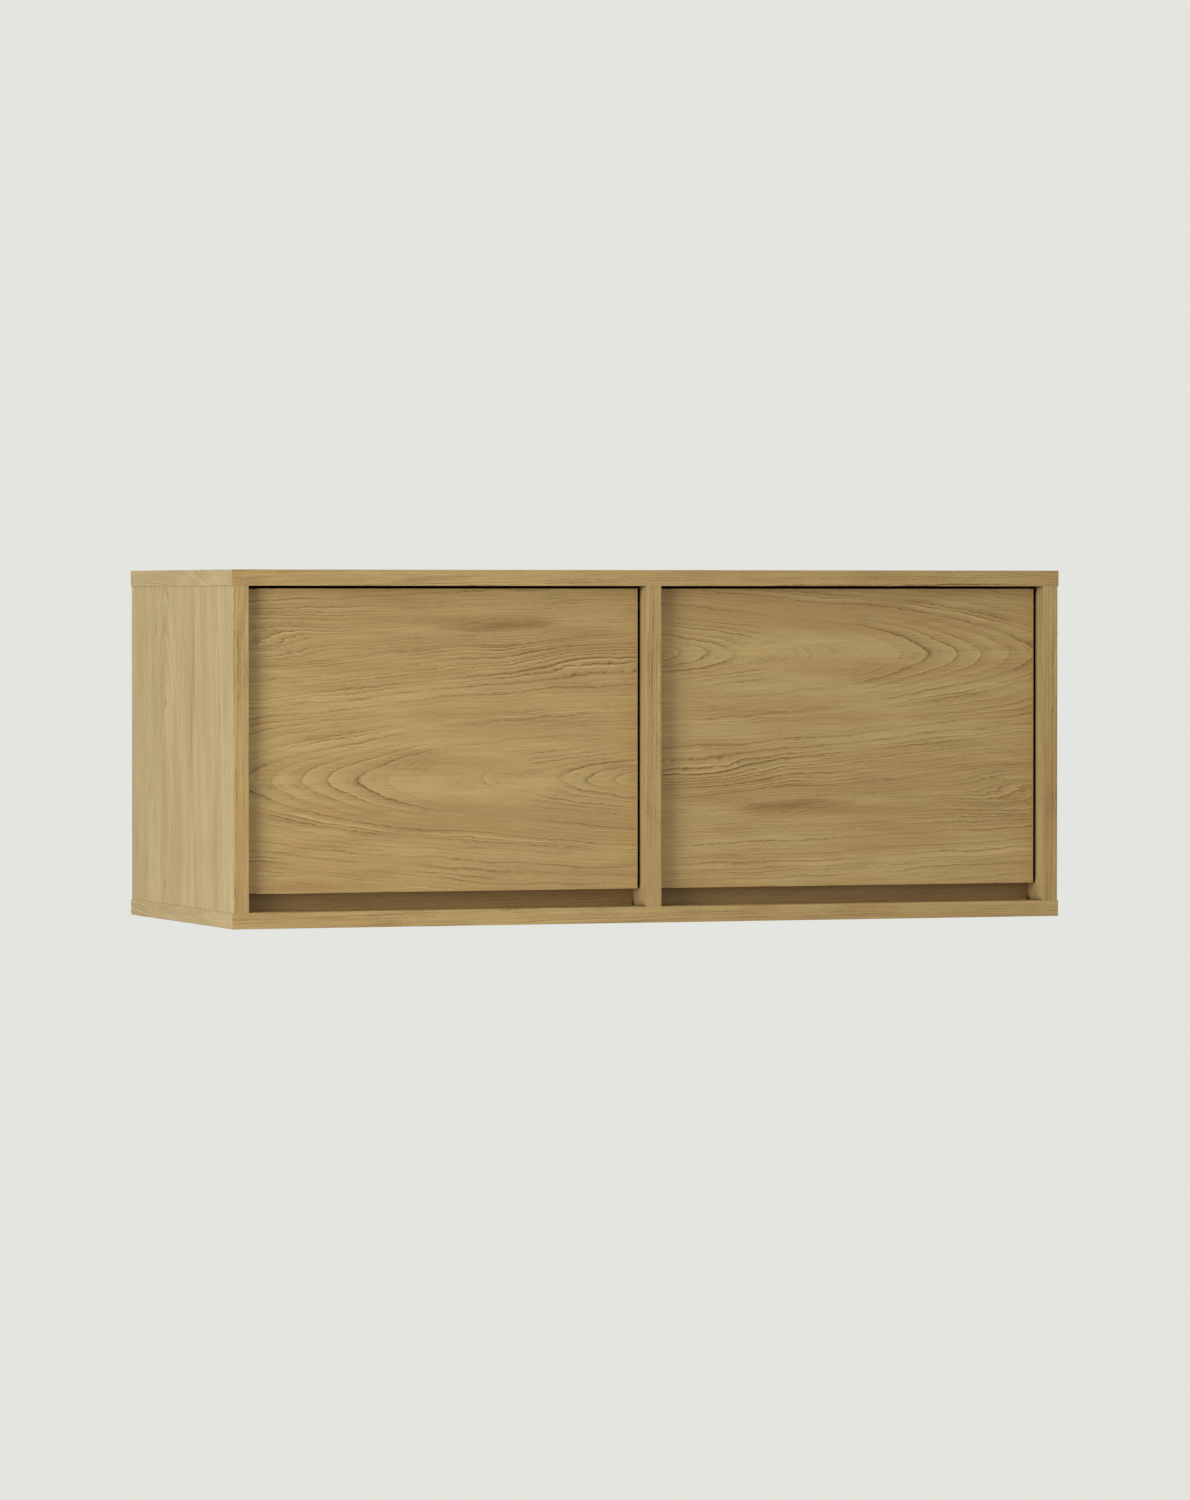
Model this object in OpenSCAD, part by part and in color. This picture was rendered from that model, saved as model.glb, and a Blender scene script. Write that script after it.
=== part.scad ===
// Wall hung cabinet with two recessed lift-up flap doors.
// X runs along the wall, the front faces -Y and Z is up.
// The origin is the middle of the rear edge, on the wall plane. Units are millimetres.

/* [Cabinet] */
// Overall width
width = 1000; // [900:10:1200]
// Overall height
height = 400; // [380:10:440]
// Overall depth
depth = 400; // [360:10:420]
// Thickness of the boards
board = 18; // [18:0.5:19]
// How far the top and bottom overhang each side panel
end_overhang = 1.2; // [0.5:0.1:3]
// Thickness of the edge bands
band = 1; // [0.8:0.1:1.2]

/* [Doors] */
// Thickness of the doors
door_board = 18; // [16:0.5:18]
// How far the doors stand back from the front edges
door_recess = 21.5; // [20:0.5:26]
// Gap beside each door
side_gap = 2.8; // [2.5:0.1:4]
// Gap above each door
top_gap = 3; // [2.5:0.1:4]
// Finger gap under each door
finger_gap = 20; // [18:1:26]
// Distance from a door's top edge down to its pivot axis
pivot_drop = 20; // [18:1:22]

/* [Inside] */
// Distance from the front edges back to the stop rails
rail_setback = 47; // [47:1:50]
// Height of the stop rails
rail_height = 60; // [50:5:70]
// Depth of the space behind the back panels
back_recess = 18; // [18:1:20]
// Thickness of the back panels
back_board = 3; // [3:0.5:4]

/* [Flap stays] */
// From the flap's pivot back to the lever's pivot
stay_back = 60; // [56:1:64]
// From the flap's pivot down to the lever's pivot
stay_down = 35; // [32:1:36]
// From the flap's pivot down to the bracket pin
crank_down = 90; // [80:1:100]
// From the flap's pivot back to the bracket pin
crank_back = 24; // [22:1:26]

/* [Wall fixing] */
// Distance between the two screw holes of a wall plate
wall_screw_spacing = 32; // [28:1:36]
// Diameter of the wall screw holes
wall_screw_hole = 6.5; // [5:0.5:7]

/* [Hidden] */
$fn = 48;

// Colours
oak = "#b09a62";
oak_side = "#c3ac82";
fibreboard = "#9a8258";
steel = "#b9bcc0";
zinc = "#a3a6ab";
plastic = "#e8e6e0";
grey_plastic = "#77797c";
black_plastic = "#26251f";
dowel_wood = "#d9c08c";

// Clearances: fixed parts in their holes, turning parts on their pins, and the link on its pin
fit = 0.05;
running = 0.05;
loose = 0.3;
// Overshoot of a cutting body past the face that it cuts
cut = 1;

// Carcass planes
end_x = width / 2;
side_out = end_x - end_overhang;
side_in = side_out - board;
half_board = board / 2;
top_z = height / 2;
inner_top = top_z - board;
panel_front = -depth + band;
band_radius = band / 2;

// Back panels and their grooves
back_y = -back_recess;
groove_depth = 5;
groove_play = 0.1;

// Doors
door_front = -depth + door_recess;
door_back = door_front + door_board;
door_top = inner_top - top_gap;
door_bottom = -inner_top + finger_gap;
door_left = -side_in + side_gap;
door_right = -half_board - side_gap;

// Flap pivot, with a pin that runs from the door into a bush in the upright
pivot_y = door_front + door_board / 2;
pivot_z = door_top - pivot_drop;
pin_r = 3;
pin_in_door = 24;
bush_depth = 8;
bush_r = 5;
bush_flange_r = 7;
bush_flange = 1.2;
pin_in_bush = 6.5;

// Stop rails with their buffers and screws
rail_front = -depth + rail_setback;
rail_back = rail_front + board;
rail_top = -inner_top + rail_height;
buffer_r = 4;
buffer_peg_r = 2.5;
buffer_peg = 8;
buffer_gap = 0.3;
buffer_inset = 35;
buffer_up = 40;
rail_screw_r = 2;
rail_screw_head_r = 4;
rail_screw_in_rail = 26;
rail_cap_r = 6;
rail_cap = 1.2;
rail_screw_inset = 50;

// Corner joints: cam locks, cam bolts and dowels
cam_from_end = 24;
cam_r = 7.5;
cam_height = 12.5;
cam_slot_r = 3.8;
cam_drive = 1.6;
cam_drive_long = 8;
cam_drive_deep = 2;
cam_bolt_head_r = 3.2;
cam_bolt_r = 2.5;
cam_bolt_hole_r = 3.6;
cam_bolt_thread_r = 3;
cam_bolt_thread = 11;
cam_cap_r = 8.5;
cam_cap = 0.6;
cam_front = -depth + 80;
cam_rear = -65;
dowel_r = 4;
dowel_up = 11;
dowel_down = 18;
dowel_offset = 32;

// Wall hangers, measured inwards from the inner face of a side panel
hanger_width = 34;
hanger_rear = -7.5;
hanger_front = -back_recess + 0.5;
hanger_bottom = inner_top - 64;
hanger_top = inner_top - 10;
hanger_peg_r = 4;
hanger_peg = 11;
hanger_peg_low = hanger_bottom + 9;
hanger_peg_high = hanger_top - 9;
hanger_mid_y = (hanger_rear + hanger_front) / 2;
adjuster_r = 3;
adjuster_high = [11, hanger_top - 12];
adjuster_low = [24, hanger_bottom + 12];
adjuster_socket = 4;
access_r = 4.5;
access_cap_r = 7;
access_cap = 1;
fixing_screw_at = [29, hanger_bottom + 21];
fixing_screw_r = 2;

// Hook and wall plate
hook_from = 7;
hook_to = 27;
hook_z = inner_top - 36;
hook_thick = 2.5;
hook_inner = -14;
lip_front = -4.7;
lip_rear = -2.7;
lip_drop = 12;
plate_from = 2;
plate_to = 62;
plate_thick = 2;
plate_bottom = hook_z - 50;
plate_step = hook_z - 20;
plate_lip_front = -7;
wall_screw_z = hook_z - 34;

// Flap stay, in layers measured inwards from the inner face of a side panel
stay_y = pivot_y + stay_back;
stay_z = pivot_z - stay_down;
crank_y = pivot_y + crank_back;
crank_z = pivot_z - crank_down;
knee_y = crank_y + stay_back;
knee_z = crank_z - stay_down;
stay_plate_thick = 2.5;
washer_thick = 1;
lever_from = stay_plate_thick + washer_thick + 0.1;
lever_thick = 2.5;
lever_to = lever_from + lever_thick;
washer_from = lever_to + 0.1;
disc_from = washer_from + washer_thick;
disc_thick = 1.4;
nut_from = disc_from + disc_thick;
nut_thick = 4.5;
link_from = lever_to + 0.4;
link_to = link_from + lever_thick;
ear_from = link_to + 0.4;
ear_to = ear_from + 2.5;
axle_r = 4;
washer_r = 10;
disc_r = 8.5;
nut_r = 7.5;
lever_eye_r = 9;
knee_eye_r = 8;
link_eye_r = 7;
rivet_r = 3;
rivet_head_r = 5;
rivet_head = 1;
stop_r = 3;
stop_along = 30;
stop_gap = 0.3;
lever_length = sqrt(crank_back * crank_back + crank_down * crank_down);
open_dir = [-crank_down, -crank_back] / lever_length;
open_up = [open_dir[1], -open_dir[0]];
stop_y = stay_y + stop_along * open_dir[0] + (lever_eye_r + stop_r + stop_gap) * open_up[0];
stop_z = stay_z + stop_along * open_dir[1] + (lever_eye_r + stop_r + stop_gap) * open_up[1];
stay_plate_front = stay_y - 38;
stay_plate_rear = stay_y + 38;
stay_plate_half = 18;
stay_plate_corner = 6;
plate_screw_r = 1.75;
plate_screw_head_r = 3.4;
plate_screw_length = 13;
plate_screw_places = [[-26, -11], [27, -11], [27, 11]];

// Stay bracket on the back of a door
bracket_to = 40;
bracket_half = 25;
bracket_thick = 2.5;
bracket_screw_r = 1.75;
bracket_screw_head_r = 3.4;
bracket_screw_length = 13;
bracket_screw_places = [[20, -17], [33, 0], [20, 17]];
retainer = 1.6;

module slab(low, high) {
  translate(low) cube(high - low);
}

module rod_x(x0, x1, y, z, r) {
  translate([x0, y, z]) rotate([0, 90, 0]) cylinder(r = r, h = x1 - x0);
}

module rod_y(y0, y1, x, z, r) {
  translate([x, y1, z]) rotate([90, 0, 0]) cylinder(r = r, h = y1 - y0);
}

module rod_z(z0, z1, x, y, r) {
  translate([x, y, z0]) cylinder(r = r, h = z1 - z0);
}

module cone_x(x0, x1, y, z, r0, r1) {
  translate([x0, y, z]) rotate([0, 90, 0]) cylinder(r1 = r0, r2 = r1, h = x1 - x0);
}

module cone_y(y0, y1, x, z, r0, r1) {
  translate([x, y1, z]) rotate([90, 0, 0]) cylinder(r1 = r1, r2 = r0, h = y1 - y0);
}

module both_sides() {
  children();
  mirror([1, 0, 0]) children();
}

module both_ends() {
  children();
  mirror([0, 0, 1]) children();
}

// Profile of an edge band, thick along -Y and wide along X, with its two outer edges rounded
module band_profile(wide) {
  translate([0, -band + band_radius]) square([wide, band - band_radius]);
  translate([band_radius, -band]) square([wide - 2 * band_radius, band]);
  for (x = [band_radius, wide - band_radius])
    translate([x, -band + band_radius]) circle(r = band_radius);
}

// A band that runs upwards from z0 to z1, on a face that looks towards -Y
module upright_band(x0, wide, y, z0, z1) {
  translate([x0, y, z0]) linear_extrude(z1 - z0) band_profile(wide);
}

// A band that runs along X, on a face that looks towards -Y
module level_band(x0, x1, y, z0, wide) {
  translate([x0, y, z0]) multmatrix([[0, 0, 1, 0], [0, 1, 0, 0], [1, 0, 0, 0], [0, 0, 0, 1]])
    linear_extrude(x1 - x0) band_profile(wide);
}

// ---- Corner joints ----

cam_places = [cam_front, cam_rear];
dowel_places = [cam_front + dowel_offset, cam_rear - dowel_offset];
upright_middles = [-side_in - half_board, 0, side_in + half_board];

// Moves to each cam's axis, on the face that the cam is pressed into
module at_cams() {
  both_ends() for (y = cam_places) {
    both_sides() translate([-side_in, y, inner_top - cam_from_end]) children();
    translate([half_board, y, inner_top - cam_from_end]) children();
  }
}

module cam_hole() {
  rod_x(-cam_height - 0.5, cut, 0, 0, cam_r + fit);
  rod_z(0, cam_from_end + cut, -half_board, 0, cam_bolt_hole_r);
}

module cam_lock() {
  difference() {
    rod_x(-cam_height, 0, 0, 0, cam_r);
    rod_z(-cam_slot_r, cam_r + cut, -half_board, 0, cam_slot_r);
    for (turn = [0, 90]) rotate([turn, 0, 0])
      slab([-cam_drive_deep, -cam_drive / 2, -cam_drive_long / 2], [cut, cam_drive / 2, cam_drive_long / 2]);
  }
}

module cam_bolt() {
  translate([-half_board, 0, 0]) sphere(r = cam_bolt_head_r);
  rod_z(0, cam_from_end, -half_board, 0, cam_bolt_r);
  rod_z(cam_from_end, cam_from_end + cam_bolt_thread, -half_board, 0, cam_bolt_thread_r);
}

// Holes for the bolts and dowels in the underside of the top panel, mirrored for the bottom panel
module end_board_holes() {
  for (x = upright_middles) {
    for (y = cam_places)
      rod_z(inner_top - cut, inner_top + cam_bolt_thread + 1, x, y, cam_bolt_thread_r + fit);
    for (y = dowel_places)
      rod_z(inner_top - cut, inner_top + dowel_up + 1, x, y, dowel_r + fit);
  }
}

module at_dowels() {
  both_ends() for (x = upright_middles, y = dowel_places) translate([x, y, inner_top]) children();
}

module dowel_hole() {
  rod_z(-dowel_down - 1, cut, 0, 0, dowel_r + fit);
}

// ---- Carcass ----

// Slots for the two back panels, cut into every board around them
module back_grooves() {
  both_sides() slab(
    [half_board - groove_depth, back_y - back_board - groove_play, -inner_top - groove_depth],
    [side_in + groove_depth, back_y + groove_play, inner_top + groove_depth]
  );
}

module end_board() {
  difference() {
    slab([-end_x + band, panel_front, inner_top], [end_x - band, 0, top_z]);
    end_board_holes();
    back_grooves();
  }
}

module top_panel() {
  color(oak) end_board();
}

module bottom_panel() {
  color(oak) difference() {
    mirror([0, 0, 1]) end_board();
    at_rail_screws() rail_screw_hole();
  }
}

module side_panel() {
  color(oak_side) difference() {
    slab([-side_out, panel_front, -inner_top], [-side_in, 0, inner_top]);
    at_cams() cam_hole();
    at_dowels() dowel_hole();
    back_grooves();
    rod_x(-side_in - bush_depth - 0.5, -side_in + cut, pivot_y, pivot_z, bush_r + fit);
    for (z = [hanger_peg_low, hanger_peg_high])
      rod_x(-side_in - hanger_peg - 0.5, -side_in + cut, hanger_mid_y, z, hanger_peg_r + fit);
    at_stay_screws()
      rod_x(-side_in - plate_screw_length, -side_in + cut, 0, 0, plate_screw_r + fit);
    rod_x(-side_in - 10, -side_in + cut, hanger_mid_y, fixing_screw_at[1], fixing_screw_r + fit);
  }
}

module left_side_panel() {
  side_panel();
}

module right_side_panel() {
  mirror([1, 0, 0]) side_panel();
}

module divider_panel() {
  color(oak) difference() {
    slab([-half_board, panel_front, -inner_top], [half_board, 0, inner_top]);
    at_cams() cam_hole();
    at_dowels() dowel_hole();
    back_grooves();
    both_sides()
      rod_x(half_board - bush_depth - 0.5, half_board + cut, pivot_y, pivot_z, bush_r + fit);
  }
}

module top_front_band() {
  color(oak) level_band(-end_x, end_x, panel_front, inner_top, board);
}

module bottom_front_band() {
  color(oak) level_band(-end_x, end_x, panel_front, -top_z, board);
}

module left_side_front_band() {
  color(oak) upright_band(-side_out, board, panel_front, -inner_top, inner_top);
}

module right_side_front_band() {
  color(oak) upright_band(side_in, board, panel_front, -inner_top, inner_top);
}

module divider_front_band() {
  color(oak) upright_band(-half_board, board, panel_front, -inner_top, inner_top);
}

module end_bands(z0) {
  color(oak_side) both_sides()
    translate([-end_x + band, 0, z0]) rotate([0, 0, -90]) level_band(0, -panel_front, 0, 0, board);
}

module top_end_bands() {
  end_bands(inner_top);
}

module bottom_end_bands() {
  end_bands(-top_z);
}

// ---- Back panels ----

module at_access_holes() {
  for (p = [adjuster_high, adjuster_low]) translate([-side_in + p[0], 0, p[1]]) children();
}

module back_panel() {
  edge = groove_depth - 0.5;
  color(fibreboard) difference() {
    slab([-side_in - edge, back_y - back_board, -inner_top - edge],
         [-half_board + edge, back_y, inner_top + edge]);
    at_access_holes() rod_y(back_y - back_board - cut, back_y + cut, 0, 0, access_r);
  }
}

module left_back_panel() {
  back_panel();
}

module right_back_panel() {
  mirror([1, 0, 0]) back_panel();
}

module access_hole_caps() {
  color(plastic) both_sides() at_access_holes() {
    rod_y(back_y - back_board - access_cap, back_y - back_board, 0, 0, access_cap_r);
    rod_y(back_y - back_board, back_y - 0.5, 0, 0, access_r - fit);
  }
}

// ---- Stop rails ----

rail_screw_places = [side_in - rail_screw_inset, (side_in + half_board) / 2, half_board + rail_screw_inset];
buffer_places = [side_in - buffer_inset, half_board + buffer_inset];
rail_mid_y = (rail_front + rail_back) / 2;

module at_rail_screws() {
  both_sides() for (x = rail_screw_places) translate([x, rail_mid_y, -top_z]) children();
}

module at_buffers() {
  both_sides() for (x = buffer_places) translate([x, 0, -inner_top + buffer_up]) children();
}

module rail_screw_hole() {
  rod_z(-cut, rail_cap, 0, 0, rail_cap_r + fit);
  translate([0, 0, rail_cap]) cylinder(r1 = rail_screw_head_r + fit, r2 = rail_screw_r + fit, h = 3);
  rod_z(0, board + rail_screw_in_rail + 1, 0, 0, rail_screw_r + fit);
}

module stop_rail() {
  color(oak) difference() {
    slab([-side_in, rail_front, -inner_top], [-half_board, rail_back, rail_top]);
    at_rail_screws() rail_screw_hole();
    at_buffers() rod_y(rail_front - cut, rail_front + buffer_peg + 0.5, 0, 0, buffer_peg_r + fit);
  }
}

module left_stop_rail() {
  stop_rail();
}

module right_stop_rail() {
  mirror([1, 0, 0]) stop_rail();
}

module rail_screws() {
  color(steel) at_rail_screws() {
    translate([0, 0, rail_cap]) cylinder(r1 = rail_screw_head_r, r2 = rail_screw_r, h = 3);
    rod_z(rail_cap, board + rail_screw_in_rail, 0, 0, rail_screw_r);
  }
}

module rail_screw_caps() {
  color(oak) at_rail_screws() rod_z(0, rail_cap, 0, 0, rail_cap_r);
}

module door_buffers() {
  head = rail_front - (door_back + buffer_gap);
  color(plastic) at_buffers() {
    rod_y(rail_front - head + 1, rail_front, 0, 0, buffer_r);
    cone_y(rail_front - head, rail_front - head + 1, 0, 0, buffer_r - 0.8, buffer_r);
    rod_y(rail_front, rail_front + buffer_peg, 0, 0, buffer_peg_r);
  }
}

// ---- Hardware of the corner joints ----

module cam_locks() {
  color(zinc) at_cams() cam_lock();
}

module cam_bolts() {
  color(steel) at_cams() cam_bolt();
}

module cam_cover_caps() {
  color(oak) at_cams() rod_x(0, cam_cap, 0, 0, cam_cap_r);
}

module panel_dowels() {
  color(dowel_wood) at_dowels() rod_z(-dowel_down, dowel_up, 0, 0, dowel_r);
}

// ---- Wall hangers ----

module hanger_body() {
  slot = 0.4;
  color(grey_plastic) translate([-side_in, 0, 0]) difference() {
    union() {
      slab([0, hanger_front, hanger_bottom], [hanger_width, hanger_rear, hanger_top]);
      for (z = [hanger_peg_low, hanger_peg_high])
        rod_x(-hanger_peg, 0, hanger_mid_y, z, hanger_peg_r);
    }
    slab([hook_from - slot, hook_inner - slot, hook_z - slot],
         [hook_to + slot, hanger_rear + cut, hook_z + hook_thick + slot]);
    for (p = [adjuster_high, adjuster_low])
      rod_y(hanger_front - cut, hanger_rear + cut, p[0], p[1], adjuster_r + fit);
    rod_x(-cut, hanger_width + cut, hanger_mid_y, fixing_screw_at[1], fixing_screw_r + fit);
    rod_x(fixing_screw_at[0], hanger_width + cut, hanger_mid_y, fixing_screw_at[1], 4);
  }
}

module left_hanger_body() {
  hanger_body();
}

module right_hanger_body() {
  mirror([1, 0, 0]) hanger_body();
}

module hanger_hook() {
  color(steel) translate([-side_in, 0, 0]) {
    slab([hook_from, hook_inner, hook_z], [hook_to, lip_rear, hook_z + hook_thick]);
    slab([hook_from, lip_front, hook_z - lip_drop], [hook_to, lip_rear, hook_z + hook_thick]);
  }
}

module left_hanger_hook() {
  hanger_hook();
}

module right_hanger_hook() {
  mirror([1, 0, 0]) hanger_hook();
}

module wall_plate() {
  middle = (plate_from + plate_to) / 2;
  color(steel) translate([-side_in, 0, 0]) difference() {
    union() {
      slab([plate_from, -plate_thick, plate_bottom], [plate_to, 0, plate_step]);
      slab([plate_from, plate_lip_front, plate_step - plate_thick], [plate_to, 0, plate_step]);
      slab([plate_from, plate_lip_front, plate_step - plate_thick],
           [plate_to, plate_lip_front + plate_thick, hook_z]);
    }
    for (side = [-1, 1])
      rod_y(-plate_thick - cut, cut, middle + side * wall_screw_spacing / 2, wall_screw_z,
            wall_screw_hole / 2);
  }
}

module left_wall_plate() {
  wall_plate();
}

module right_wall_plate() {
  mirror([1, 0, 0]) wall_plate();
}

module hanger_adjusting_screws() {
  color(steel) both_sides() translate([-side_in, 0, 0]) for (p = [adjuster_high, adjuster_low])
    difference() {
      rod_y(hanger_front, hanger_rear, p[0], p[1], adjuster_r);
      for (turn = [0, 90]) translate([p[0], hanger_front, p[1]]) rotate([0, turn, 0])
        cube([adjuster_socket, 4, 1], center = true);
    }
}

module hanger_fixing_screws() {
  color(steel) both_sides() translate([-side_in, 0, 0]) {
    rod_x(-9.5, fixing_screw_at[0], hanger_mid_y, fixing_screw_at[1], fixing_screw_r);
    rod_x(fixing_screw_at[0], fixing_screw_at[0] + 2, hanger_mid_y, fixing_screw_at[1], 3.5);
  }
}

// ---- Flap pivots ----

// The flap's two pivots, as [face of the upright, direction from the door into the upright]
pivot_faces = [[-side_in, -1], [-half_board, 1]];

module pivot_bushes() {
  color(black_plastic) both_sides() for (p = pivot_faces)
    translate([p[0], pivot_y, pivot_z]) rotate([0, 90 * p[1], 0]) difference() {
      union() {
        cylinder(r = bush_r, h = bush_depth);
        translate([0, 0, -bush_flange]) cylinder(r = bush_flange_r, h = bush_flange);
      }
      translate([0, 0, -bush_flange - cut]) cylinder(r = pin_r + running, h = bush_depth + bush_flange);
    }
}

module pivot_pins() {
  color(steel) for (p = pivot_faces) translate([p[0], pivot_y, pivot_z]) rotate([0, 90 * p[1], 0])
    translate([0, 0, -side_gap - pin_in_door]) cylinder(r = pin_r, h = pin_in_door + side_gap + pin_in_bush);
}

module left_pivot_pins() {
  pivot_pins();
}

module right_pivot_pins() {
  mirror([1, 0, 0]) pivot_pins();
}

// ---- Doors ----

module door_panel() {
  color(oak) difference() {
    slab([door_left + band, door_front, door_bottom + band], [door_right - band, door_back, door_top - band]);
    for (p = pivot_faces) translate([p[0], pivot_y, pivot_z]) rotate([0, 90 * p[1], 0])
      translate([0, 0, -side_gap - pin_in_door - 0.5]) cylinder(r = pin_r + fit, h = pin_in_door + side_gap);
    at_bracket_screws()
      rod_y(-bracket_screw_length, cut, 0, 0, bracket_screw_r + fit);
  }
}

module left_door_panel() {
  door_panel();
}

module right_door_panel() {
  mirror([1, 0, 0]) door_panel();
}

// A band on a door's upper edge, as long as the door is wide, moved to the edge by the caller
module door_band(long) {
  translate([0, 0, -band]) multmatrix([[0, 0, 1, 0], [1, 0, 0, 0], [0, -1, 0, 0], [0, 0, 0, 1]])
    linear_extrude(long) band_profile(door_board);
}

module door_bands() {
  wide = door_right - door_left;
  tall = door_top - door_bottom - 2 * band - 2 * fit;
  color(oak) difference() {
    union() {
      translate([door_left, door_front, door_top]) door_band(wide);
      translate([door_right, door_front, door_bottom]) rotate([0, 180, 0]) door_band(wide);
      translate([door_left, door_front, door_bottom + band + fit]) rotate([0, -90, 0]) door_band(tall);
      translate([door_right, door_front, door_top - band - fit]) rotate([0, 90, 0]) door_band(tall);
    }
    rod_x(door_left - cut, door_right + cut, pivot_y, pivot_z, pin_r + fit);
  }
}

module left_door_bands() {
  door_bands();
}

module right_door_bands() {
  mirror([1, 0, 0]) door_bands();
}

// ---- Flap stays ----

module at_stay_screws() {
  for (p = plate_screw_places) translate([0, stay_y + p[0], stay_z + p[1]]) children();
}

module stay_plate() {
  color(zinc) translate([-side_in, 0, 0]) difference() {
    union() {
      slab([0, stay_plate_front + stay_plate_corner, stay_z - stay_plate_half],
           [stay_plate_thick, stay_plate_rear - stay_plate_corner, stay_z + stay_plate_half]);
      slab([0, stay_plate_front, stay_z - stay_plate_half + stay_plate_corner],
           [stay_plate_thick, stay_plate_rear, stay_z + stay_plate_half - stay_plate_corner]);
      for (y = [stay_plate_front + stay_plate_corner, stay_plate_rear - stay_plate_corner])
        for (z = [-1, 1])
          rod_x(0, stay_plate_thick, y, stay_z + z * (stay_plate_half - stay_plate_corner),
                stay_plate_corner);
      rod_x(0, lever_to, stop_y, stop_z, stop_r);
    }
    rod_x(-cut, stay_plate_thick + cut, stay_y, stay_z, axle_r + fit);
    at_stay_screws() {
      rod_x(-cut, stay_plate_thick + cut, 0, 0, plate_screw_r + fit);
      cone_x(stay_plate_thick - 2, stay_plate_thick + fit, 0, 0, plate_screw_r, plate_screw_head_r + fit);
    }
  }
}

module left_stay_plate() {
  stay_plate();
}

module right_stay_plate() {
  mirror([1, 0, 0]) stay_plate();
}

module stay_plate_screws() {
  color(steel) both_sides() translate([-side_in, 0, 0]) at_stay_screws() {
    rod_x(1 - plate_screw_length, stay_plate_thick - 0.1, 0, 0, plate_screw_r);
    cone_x(stay_plate_thick - 1.9, stay_plate_thick - 0.1, 0, 0, plate_screw_r, plate_screw_head_r - 0.1);
  }
}

module stay_ring(from, to, outer, inner) {
  difference() {
    rod_x(from, to, stay_y, stay_z, outer);
    rod_x(from - cut, to + cut, stay_y, stay_z, inner);
  }
}

module stay_axles() {
  color(steel) both_sides() translate([-side_in, 0, 0])
    rod_x(0.2, nut_from + nut_thick + 1, stay_y, stay_z, axle_r);
}

module friction_washers() {
  color(plastic) both_sides() translate([-side_in, 0, 0]) for (from = [stay_plate_thick, washer_from])
    stay_ring(from, from + washer_thick, washer_r, axle_r + fit);
}

module disc_springs() {
  color(steel) both_sides() translate([-side_in, 0, 0]) difference() {
    cone_x(disc_from, disc_from + disc_thick, stay_y, stay_z, disc_r, disc_r - 1.5);
    rod_x(disc_from - cut, disc_from + disc_thick + cut, stay_y, stay_z, axle_r + fit);
  }
}

module clamp_nuts() {
  color(steel) both_sides() translate([-side_in, 0, 0]) difference() {
    translate([nut_from, stay_y, stay_z]) rotate([0, 90, 0]) cylinder(r = nut_r, h = nut_thick, $fn = 6);
    rod_x(nut_from - cut, nut_from + nut_thick + cut, stay_y, stay_z, axle_r + fit);
  }
}

// A flat bar from one round eye to another, with a hole in each
module bar(from, to, start, end, start_r, end_r, start_hole, end_hole, waist) {
  along = end - start;
  long = norm(along);
  turn = atan2(along[1], along[0]);
  translate([-side_in, 0, 0]) difference() {
    union() {
      rod_x(from, to, start[0], start[1], start_r);
      rod_x(from, to, end[0], end[1], end_r);
      translate([from, start[0], start[1]]) rotate([turn, 0, 0])
        translate([0, 0, -waist]) cube([to - from, long, 2 * waist]);
    }
    rod_x(from - cut, to + cut, start[0], start[1], start_hole);
    rod_x(from - cut, to + cut, end[0], end[1], end_hole);
  }
}

stay_point = [stay_y, stay_z];
knee_point = [knee_y, knee_z];
crank_point = [crank_y, crank_z];

module stay_lever() {
  color(steel) bar(lever_from, lever_to, stay_point, knee_point, lever_eye_r, knee_eye_r,
                   axle_r + running, rivet_r + fit, lever_eye_r - 2);
}

module left_stay_lever() {
  stay_lever();
}

module right_stay_lever() {
  mirror([1, 0, 0]) stay_lever();
}

module lever_rivet() {
  color(zinc) translate([-side_in, 0, 0]) {
    rod_x(lever_from - rivet_head, link_to + 0.2, knee_y, knee_z, rivet_r);
    rod_x(lever_from - rivet_head, lever_from, knee_y, knee_z, rivet_head_r);
    rod_x(link_to + 0.2, link_to + 0.2 + rivet_head, knee_y, knee_z, rivet_head_r);
  }
}

module left_lever_rivet() {
  lever_rivet();
}

module right_lever_rivet() {
  mirror([1, 0, 0]) lever_rivet();
}

module stay_link() {
  color(steel) bar(link_from, link_to, knee_point, crank_point, link_eye_r, link_eye_r,
                   rivet_r + running, rivet_r + loose, link_eye_r - 2);
}

module left_stay_link() {
  stay_link();
}

module right_stay_link() {
  mirror([1, 0, 0]) stay_link();
}

// ---- Stay brackets on the doors ----

module at_bracket_screws() {
  for (p = bracket_screw_places) translate([-side_in + p[0], door_back, crank_z + p[1]]) children();
}

module door_bracket() {
  ear_y = crank_y + link_eye_r;
  color(zinc) difference() {
    union() {
      slab([-side_in + ear_from, door_back, crank_z - bracket_half],
           [-side_in + bracket_to, door_back + bracket_thick, crank_z + bracket_half]);
      slab([-side_in + ear_from, door_back, crank_z - link_eye_r],
           [-side_in + ear_to, crank_y, crank_z + link_eye_r]);
      rod_x(-side_in + ear_from, -side_in + ear_to, crank_y, crank_z, link_eye_r);
    }
    rod_x(-side_in + ear_from - cut, -side_in + ear_to + cut, crank_y, crank_z, rivet_r + fit);
    at_bracket_screws() {
      rod_y(-cut, bracket_thick + cut, 0, 0, bracket_screw_r + fit);
      cone_y(bracket_thick - 2, bracket_thick + fit, 0, 0, bracket_screw_r, bracket_screw_head_r + fit);
    }
  }
}

module left_door_bracket() {
  door_bracket();
}

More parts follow.
